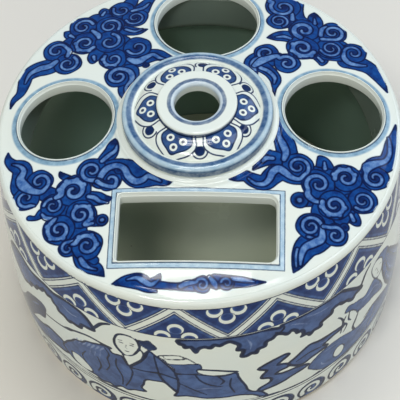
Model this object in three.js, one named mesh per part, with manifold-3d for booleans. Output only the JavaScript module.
// A drum-shaped porcelain stand for brushes and ink: a hollow drum with a gently domed deck.
// The deck has three round holes, a long slot in front and a low dome with a mouth in the middle.
// Millimetres, +Z up. The origin is the middle of the foot's underside, and the slot faces -Y.
import * as THREE from "three";
import { mergeVertices } from "three/addons/utils/BufferGeometryUtils.js";
import Module from "manifold-3d";

const wasm = await Module();
wasm.setup();

// Drum: radius at the foot of the wall, and height of the wall's top
const drumRadius = 92;
const wallTopHeight = 102.2;

// Foot ring, the bare edge that the stand rests on
const footStep = 0.8;
const footWidth = 11.7;
const footHeight = 5;
const footEdgeRadius = 1.4;

// Drum wall, which narrows towards its top and swells between
const wallTaper = 2.4;
const wallBulge = 2.9;
const wallFootThickness = 9.2;
const wallBellyThickness = 7.3;
const wallTopThickness = 6.2;
const coveRise = 4.5;
const coveSlope = 19;
const neckMargin = 2.2;
const neckSlope = 18;

// Base plate, the floor inside
const floorHeight = 12.5;

// Luting band, the clay that joins wall and deck inside
const bandHeight = 18;
const bandLipRise = 3.8;
const bandLipWidth = 5.3;
const bandUnderWidth = 2.7;
const bandTopWidth = 1.7;
const bandTopEdge = 1.2;

// Deck, a shallow dome set in from the wall's edge
const deckFall = 8.3;
const deckThickness = 5.5;
const deckSetIn = 4.4;
const deckSeatWidth = 4.7;
const deckEdgeRound = 0.3;

// Rim roll, which carries the deck's curve out to a rounded edge over the wall
const rollEdgeRadius = 1.5;
const rollSetIn = 2.15;

// Dome
const domeBaseRadius = 27.3;
const domeSideRise = 5.4;
const domeCapRise = 4.5;
const domeWallThickness = 3.3;
const domeCapThickness = 4.1;
const domeHollowRise = 1.4;
const deckHoleStep = 1;

// Moulding and welt round the dome's foot
const mouldingWidth = 5.5;
const mouldingCrownSetIn = 3;
const mouldingRise = 6.7;
const mouldingShoulderRise = 3.7;
const mouldingInnerDrop = 0.9;
const weltWidth = 3.4;
const weltRise = 1.6;
const weltTopWidth = 0.9;
const seatMargin = 0.2;

// Mouth collar
const mouthRadius = 9.8;
const mouthEdgeRound = 1.2;
const collarWidth = 7.8;
const collarThickness = 2.3;
const collarEdgeRound = 0.9;
const collarOverhang = 1.1;
const throatWall = 2.2;
const throatDepth = 2.7;

// Raised lips of the holes and of the slot
const lipWidth = 1.3;
const lipRise = 1.1;
const lipEdgeRound = 0.48;
const lipHang = 0.3;

// Round holes: the angle of each in degrees from +X, and how far its lip stays off the rim and off the moulding
const leftHoleAngle = 179.3;
const leftHoleRimMargin = 4.4;
const leftHoleDomeMargin = 3.5;
const rightHoleAngle = 6.4;
const rightHoleRimMargin = 2.3;
const rightHoleDomeMargin = 4;
const backHoleAngle = 88.1;
const backHoleRimMargin = 1.7;
const backHoleDomeMargin = 1.4;

// Slot in front of the dome
const slotX = 1.6;
const slotWidth = 66.6;
const slotDomeMargin = 6.1;
const slotRimMargin = 4.9;
const slotRightCornerRadius = 3.6;
const slotLeftCornerRadius = 1.4;
const slotStationSpacing = 6;

// Fits
const jointClearance = 0.3;
const mergeTolerance = 1e-4;

// Turned pieces and arcs
const bigTurnSteps = 64;
const smallTurnSteps = 40;
const wallSteps = 8;
const deckSteps = 8;
const arcSteps = 4;
const edgeSteps = 6;
const domeSteps = 5;

// Share of the way up and in at which the dome's outline passes its bulge
const domeBulgeInShare = 0.24;
const domeBulgeUpShare = 0.72;

const glazeWhite = 0xe6e8dd;
const glazeShade = 0xd5d8cf;
const paintedDeck = 0xb9c6da;
const paintedWall = 0xaeb6c4;
const bareClay = 0xcfc0a6;

// Radii and heights that follow from the sizes above, from the foot up
const footOuterRadius = drumRadius - footStep;
const footInnerRadius = footOuterRadius - footWidth;
const wallTopRadius = drumRadius - wallTaper;
const wallInnerFootRadius = drumRadius - wallFootThickness;
const wallInnerBellyRadius = (drumRadius + wallTopRadius) / 2 + wallBulge - wallBellyThickness;
const wallInnerTopRadius = wallTopRadius - wallTopThickness;
const bandOuterRadius = wallInnerTopRadius - jointClearance;
const bandBottomHeight = wallTopHeight - bandHeight;

const deckEdgeRadius = wallTopRadius - deckSetIn;
const deckRebateRadius = deckEdgeRadius - deckSeatWidth;
const deckCrownHeight = wallTopHeight + deckThickness + deckFall;

const deckHeightAt = (radius) => deckCrownHeight - deckFall * (radius / deckEdgeRadius) ** 2;

const rollInnerRadius = deckEdgeRadius + jointClearance;
const rollMiddleRadius = wallTopRadius - rollSetIn;
const rollMiddleHeight = deckHeightAt(rollMiddleRadius) - rollEdgeRadius;

const domeHollowRadius = domeBaseRadius - domeWallThickness;
const deckCentreHoleRadius = domeHollowRadius - deckHoleStep;
const mouldingInnerRadius = domeBaseRadius + jointClearance;
const mouldingOuterRadius = mouldingInnerRadius + mouldingWidth;
const weltInnerRadius = mouldingOuterRadius + jointClearance;
const weltOuterRadius = weltInnerRadius + weltWidth;
const seatRadius = weltOuterRadius + seatMargin;
const seatHeight = deckHeightAt(seatRadius);
const domeSideHeight = seatHeight + domeSideRise;
const domeTopHeight = domeSideHeight + domeCapRise;
const collarRadius = mouthRadius + collarWidth;
const domeTopRadius = collarRadius - collarOverhang;
const throatOuterRadius = mouthRadius + throatWall;
const domeOpeningRadius = throatOuterRadius + jointClearance;
const collarTopHeight = domeTopHeight + collarThickness;

// A round hole's lip fills the space between moulding and rim, less its two margins.
const placedHole = (name, angle, rimMargin, domeMargin) => {
  const farEdge = deckEdgeRadius - rimMargin;
  const nearEdge = mouldingOuterRadius + domeMargin;
  const turn = THREE.MathUtils.degToRad(angle);
  const middle = (farEdge + nearEdge) / 2;
  return {
    name,
    x: middle * Math.cos(turn),
    y: middle * Math.sin(turn),
    boreRadius: (farEdge - nearEdge) / 2 - lipWidth,
  };
};

const holes = [
  placedHole("hole_lip_left", leftHoleAngle, leftHoleRimMargin, leftHoleDomeMargin),
  placedHole("hole_lip_right", rightHoleAngle, rightHoleRimMargin, rightHoleDomeMargin),
  placedHole("hole_lip_back", backHoleAngle, backHoleRimMargin, backHoleDomeMargin),
];

// The slot runs from the moulding's margin to where its front corners meet the rim's.
const slotCornerX = slotX + slotWidth / 2 + lipWidth;
const slotFrontY = Math.sqrt((deckEdgeRadius - slotRimMargin) ** 2 - slotCornerX ** 2) - lipWidth;
const slotBackY = mouldingOuterRadius + slotDomeMargin + lipWidth;
const slotDepth = slotFrontY - slotBackY;
const slotY = -(slotFrontY + slotBackY) / 2;

const wallRadiusAt = (height) => {
  const up = height / wallTopHeight;
  return drumRadius - wallTaper * up + wallBulge * 4 * up * (1 - up);
};

const welded = (geometry) => {
  geometry.deleteAttribute("normal");
  geometry.deleteAttribute("uv");
  return mergeVertices(geometry, mergeTolerance);
};

// Turns a closed profile of [radius, height] points, given with its outside going up.
const turned = (profile, steps) => {
  const points = [...profile, profile[0]].map(([radius, height]) => new THREE.Vector2(radius, height));
  return welded(new THREE.LatheGeometry(points, steps).rotateX(Math.PI / 2));
};

// Points of an arc round [radius, height], from one angle to another in degrees, 0 pointing outwards.
const arc = (middleRadius, middleHeight, arcRadius, fromAngle, toAngle, steps = arcSteps) =>
  Array.from({ length: steps + 1 }, (_, step) => {
    const angle = THREE.MathUtils.degToRad(fromAngle + ((toAngle - fromAngle) * step) / steps);
    return [middleRadius + arcRadius * Math.cos(angle), middleHeight + arcRadius * Math.sin(angle)];
  });

// Points of a quadratic curve between two points, drawn towards a third.
const curve = (from, towards, to, steps) =>
  Array.from({ length: steps + 1 }, (_, step) => {
    const t = step / steps;
    return from.map((value, axis) => (1 - t) ** 2 * value + 2 * t * (1 - t) * towards[axis] + t ** 2 * to[axis]);
  });

// Lifts a flat-laid piece onto the deck, so that its zero height follows the deck's surface.
const laidOnDeck = (geometry) => {
  const position = geometry.getAttribute("position");
  for (let i = 0; i < position.count; i += 1) {
    const radius = Math.hypot(position.getX(i), position.getY(i));
    position.setZ(i, position.getZ(i) + deckHeightAt(radius));
  }
  return geometry;
};

// Foot, wall and floor
const footRing = () =>
  turned(
    [
      [footInnerRadius + footEdgeRadius, 0],
      ...arc(footOuterRadius - footEdgeRadius, footEdgeRadius, footEdgeRadius, -90, 0),
      [footOuterRadius, footHeight],
      [footInnerRadius, footHeight],
      [footInnerRadius, footEdgeRadius],
    ],
    bigTurnSteps,
  );

const drumWall = () => {
  const neckHeight = bandBottomHeight - neckMargin;
  const coveHeight = floorHeight + coveRise;
  const outside = Array.from({ length: wallSteps + 1 }, (_, step) => {
    const height = footHeight + ((wallTopHeight - footHeight) * step) / wallSteps;
    return [wallRadiusAt(height), height];
  });
  return turned(
    [
      ...outside,
      [wallInnerTopRadius, wallTopHeight],
      [wallInnerTopRadius, neckHeight],
      [wallInnerBellyRadius, neckHeight - neckSlope],
      [wallInnerBellyRadius, coveHeight + coveSlope],
      [wallInnerFootRadius, coveHeight],
      [wallInnerFootRadius, footHeight],
    ],
    bigTurnSteps,
  );
};

const basePlate = () =>
  welded(
    new THREE.CylinderGeometry(
      wallInnerFootRadius - jointClearance,
      wallInnerFootRadius - jointClearance,
      floorHeight - footHeight,
      bigTurnSteps,
    )
      .rotateX(Math.PI / 2)
      .translate(0, 0, (floorHeight + footHeight) / 2),
  );

const lutingBand = () =>
  turned(
    [
      [bandOuterRadius - bandUnderWidth, bandBottomHeight],
      [bandOuterRadius, bandBottomHeight],
      [bandOuterRadius, wallTopHeight],
      [bandOuterRadius - bandTopWidth, wallTopHeight],
      [bandOuterRadius - bandTopWidth, wallTopHeight - bandTopEdge],
      [bandOuterRadius - bandLipWidth, bandBottomHeight + bandLipRise],
    ],
    bigTurnSteps,
  );

// Deck with its holes
const manifoldOf = (geometry) =>
  new wasm.Manifold(
    new wasm.Mesh({
      numProp: 3,
      vertProperties: new Float32Array(geometry.getAttribute("position").array),
      triVerts: new Uint32Array(geometry.index.array),
    }),
  );

const geometryOf = (manifold) => {
  const mesh = manifold.getMesh();
  const positions = new Float32Array(mesh.numVert * 3);
  for (let i = 0; i < mesh.numVert; i += 1) {
    positions.set(mesh.vertProperties.subarray(i * mesh.numProp, i * mesh.numProp + 3), i * 3);
  }
  return new THREE.BufferGeometry()
    .setAttribute("position", new THREE.BufferAttribute(positions, 3))
    .setIndex(new THREE.BufferAttribute(mesh.triVerts, 1));
};

// Stations round the slot's opening, each with the direction that leads straight away from it.
const slotStations = () => {
  const halfWidth = slotWidth / 2;
  const halfDepth = slotDepth / 2;
  const corners = [
    [1, -1, slotRightCornerRadius],
    [1, 1, slotRightCornerRadius],
    [-1, 1, slotLeftCornerRadius],
    [-1, -1, slotLeftCornerRadius],
  ];
  const stations = [];
  corners.forEach(([sideX, sideY, cornerRadius], corner) => {
    const middleX = sideX * (halfWidth - cornerRadius);
    const middleY = sideY * (halfDepth - cornerRadius);
    for (let step = 0; step <= arcSteps; step += 1) {
      const angle = ((corner - 1 + step / arcSteps) * Math.PI) / 2;
      const outX = Math.cos(angle);
      const outY = Math.sin(angle);
      stations.push([middleX + cornerRadius * outX, middleY + cornerRadius * outY, outX, outY]);
    }
  });
  return stations.flatMap((station, i) => {
    const next = stations[(i + 1) % stations.length];
    const pieces = Math.max(1, Math.round(Math.hypot(next[0] - station[0], next[1] - station[1]) / slotStationSpacing));
    return Array.from({ length: pieces }, (_, piece) =>
      station.map((value, axis) => value + ((next[axis] - value) * piece) / pieces),
    );
  });
};

// Upright cylinders that clear the round holes' lips.
const holeCutters = () =>
  holes.map(({ x, y, boreRadius }) => {
    const cutRadius = boreRadius + lipWidth + jointClearance;
    const cylinder = new THREE.CylinderGeometry(cutRadius, cutRadius, deckCrownHeight, smallTurnSteps);
    return manifoldOf(welded(cylinder.rotateX(Math.PI / 2).translate(x, y, deckCrownHeight)));
  });

const cutBy = (geometry, cutters) =>
  geometryOf(cutters.reduce((rest, cutter) => rest.subtract(cutter), manifoldOf(geometry)));

const deckPlate = () => {
  const top = Array.from({ length: deckSteps + 1 }, (_, step) => {
    const radius = deckEdgeRadius - deckEdgeRound - ((deckEdgeRadius - deckEdgeRound - seatRadius) * step) / deckSteps;
    return [radius, deckHeightAt(radius)];
  });
  const underside = Array.from({ length: deckSteps / 2 + 1 }, (_, step) => {
    const radius = seatRadius + ((deckRebateRadius - seatRadius) * step * 2) / deckSteps;
    return [radius, deckHeightAt(radius) - deckThickness];
  });
  const disc = turned(
    [
      [deckRebateRadius, wallTopHeight],
      [deckEdgeRadius, wallTopHeight],
      [deckEdgeRadius, deckHeightAt(deckEdgeRadius) - deckEdgeRound],
      ...top,
      [deckCentreHoleRadius, seatHeight],
      [deckCentreHoleRadius, seatHeight - deckThickness],
      ...underside,
    ],
    bigTurnSteps,
  );
  const cutOffset = lipWidth + jointClearance;
  const slotOutline = new THREE.Shape(
    slotStations().map(([x, y, outX, outY]) => new THREE.Vector2(x + cutOffset * outX, y + cutOffset * outY)),
  );
  const slotPrism = new THREE.ExtrudeGeometry(slotOutline, { depth: deckCrownHeight, bevelEnabled: false });
  const slotCutter = manifoldOf(welded(slotPrism.translate(slotX, slotY, deckCrownHeight / 2)));
  return cutBy(disc, [...holeCutters(), slotCutter]);
};

// Cross-section of a raised lip, as [distance out from the opening, height over the deck], outside going up.
const lipSection = () => [
  [0, -deckThickness - lipHang],
  [lipWidth, -deckThickness - lipHang],
  [lipWidth, lipRise - lipEdgeRound],
  ...arc(lipWidth - lipEdgeRound, lipRise - lipEdgeRound, lipEdgeRound, 0, 90, arcSteps / 2),
  ...arc(lipEdgeRound, lipRise - lipEdgeRound, lipEdgeRound, 90, 180, arcSteps / 2),
];

const holeLip = ({ x, y, boreRadius }) =>
  laidOnDeck(
    turned(
      lipSection().map(([out, height]) => [boreRadius + out, height]),
      smallTurnSteps,
    ).translate(x, y, 0),
  );

const slotFrame = () => {
  const stations = slotStations();
  const section = lipSection();
  const positions = stations.flatMap(([x, y, outX, outY]) =>
    section.flatMap(([out, height]) => [slotX + x + out * outX, slotY + y + out * outY, height]),
  );
  const indices = [];
  stations.forEach((_, station) => {
    const next = (station + 1) % stations.length;
    section.forEach((__, point) => {
      const after = (point + 1) % section.length;
      const here = station * section.length + point;
      const hereAfter = station * section.length + after;
      const there = next * section.length + point;
      const thereAfter = next * section.length + after;
      indices.push(here, there, hereAfter, thereAfter, hereAfter, there);
    });
  });
  const geometry = new THREE.BufferGeometry();
  geometry.setAttribute("position", new THREE.Float32BufferAttribute(positions, 3));
  geometry.setIndex(indices);
  return laidOnDeck(mergeVertices(geometry, mergeTolerance));
};

const rimRoll = () =>
  turned(
    [
      [wallTopRadius, wallTopHeight],
      ...arc(rollMiddleRadius, rollMiddleHeight, rollEdgeRadius, 0, 90, edgeSteps),
      [rollInnerRadius, deckHeightAt(rollInnerRadius)],
      [rollInnerRadius, wallTopHeight],
    ],
    bigTurnSteps,
  );

// Dome, its moulding and its mouth
const domeShell = () => {
  const ceilingHeight = domeTopHeight - domeCapThickness;
  const side = [domeBaseRadius, domeSideHeight];
  const top = [domeTopRadius, domeTopHeight];
  const bulge = [
    domeBaseRadius - (domeBaseRadius - domeTopRadius) * domeBulgeInShare,
    domeSideHeight + (domeTopHeight - domeSideHeight) * (1 + domeBulgeUpShare) / 2,
  ];
  return turned(
    [
      [domeBaseRadius, seatHeight],
      ...curve(side, bulge, top, domeSteps),
      [domeOpeningRadius, domeTopHeight],
      ...curve(
        [domeOpeningRadius, ceilingHeight],
        [domeHollowRadius, ceilingHeight],
        [domeHollowRadius, seatHeight + domeHollowRise],
        domeSteps,
      ),
      [domeHollowRadius, seatHeight],
    ],
    smallTurnSteps,
  );
};

const domeMoulding = () => {
  const crownHeight = seatHeight + mouldingRise;
  return turned(
    [
      [mouldingInnerRadius, seatHeight],
      [mouldingOuterRadius, seatHeight],
      ...curve(
        [mouldingOuterRadius, seatHeight + mouldingShoulderRise],
        [mouldingOuterRadius, crownHeight],
        [mouldingOuterRadius - mouldingCrownSetIn, crownHeight],
        domeSteps,
      ),
      [mouldingInnerRadius, crownHeight - mouldingInnerDrop],
    ],
    smallTurnSteps,
  );
};

const domeWelt = () => {
  const ring = turned(
    [
      [weltInnerRadius, seatHeight],
      ...curve(
        [weltOuterRadius, seatHeight],
        [weltInnerRadius + weltTopWidth, seatHeight],
        [weltInnerRadius + weltTopWidth, seatHeight + weltRise],
        arcSteps,
      ),
      [weltInnerRadius, seatHeight + weltRise],
    ],
    smallTurnSteps,
  );
  return cutBy(ring, holeCutters());
};

const mouthCollar = () =>
  turned(
    [
      [throatOuterRadius, domeTopHeight - throatDepth],
      [throatOuterRadius, domeTopHeight],
      [collarRadius - collarEdgeRound, domeTopHeight],
      ...arc(collarRadius - collarEdgeRound, domeTopHeight + collarEdgeRound, collarEdgeRound, -60, 0, arcSteps / 2),
      ...arc(collarRadius - collarEdgeRound, collarTopHeight - collarEdgeRound, collarEdgeRound, 0, 90, arcSteps / 2),
      ...arc(mouthRadius + mouthEdgeRound, collarTopHeight - mouthEdgeRound, mouthEdgeRound, 90, 180),
      [mouthRadius, domeTopHeight - throatDepth],
    ],
    smallTurnSteps,
  );

const named = (name, geometry, color, roughness) => {
  const mesh = new THREE.Mesh(geometry, new THREE.MeshStandardMaterial({ color, roughness, metalness: 0 }));
  mesh.name = name;
  return mesh;
};

const glazed = 0.12;
const unglazed = 0.85;
const stand = new THREE.Group();
stand.name = "brush_and_ink_stand";

const body = new THREE.Group();
body.add(named("foot_ring", footRing(), bareClay, unglazed));
body.add(named("drum_wall", drumWall(), paintedWall, glazed));
body.add(named("base_plate", basePlate(), glazeShade, glazed));
body.add(named("luting_band", lutingBand(), glazeShade, glazed));
stand.add(body);

const deck = new THREE.Group();
deck.add(named("deck_plate", deckPlate(), paintedDeck, glazed));
deck.add(named("rim_roll", rimRoll(), glazeWhite, glazed));
holes.forEach((hole) => deck.add(named(hole.name, holeLip(hole), glazeWhite, glazed)));
deck.add(named("slot_frame", slotFrame(), glazeWhite, glazed));
stand.add(deck);

const dome = new THREE.Group();
dome.add(named("dome_shell", domeShell(), paintedDeck, glazed));
dome.add(named("dome_moulding", domeMoulding(), paintedDeck, glazed));
dome.add(named("dome_welt", domeWelt(), glazeWhite, glazed));
dome.add(named("mouth_collar", mouthCollar(), glazeWhite, glazed));
stand.add(dome);

export default stand;
